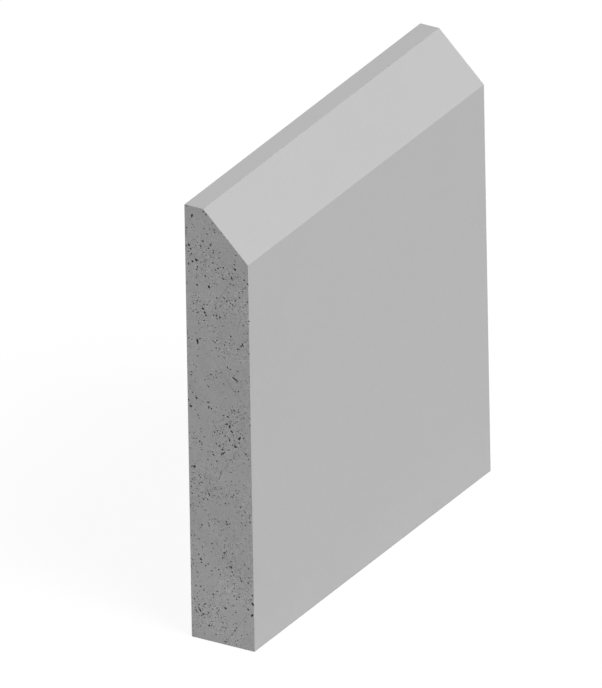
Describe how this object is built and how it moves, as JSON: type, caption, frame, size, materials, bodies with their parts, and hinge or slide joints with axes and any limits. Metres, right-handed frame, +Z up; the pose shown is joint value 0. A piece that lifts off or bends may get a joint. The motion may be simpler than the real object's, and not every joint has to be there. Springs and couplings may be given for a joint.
{
  "type": "concrete kerb stone",
  "caption": "Straight precast concrete kerb stone: an upright block with a narrow level top and a splayed upper front edge, for edging a road or path.",
  "frame": {"origin": "the middle of the underside, where the kerb stands on its bed", "axes": "+X along the kerb, +Y from the splayed front face to the back face, +Z up"},
  "size_m": [0.5, 0.079, 0.52],
  "materials": {
    "cast_concrete": "matte"
  },
  "bodies": {
    "root": {"kerb_stone": "cast_concrete"}
  },
  "joints": []
}
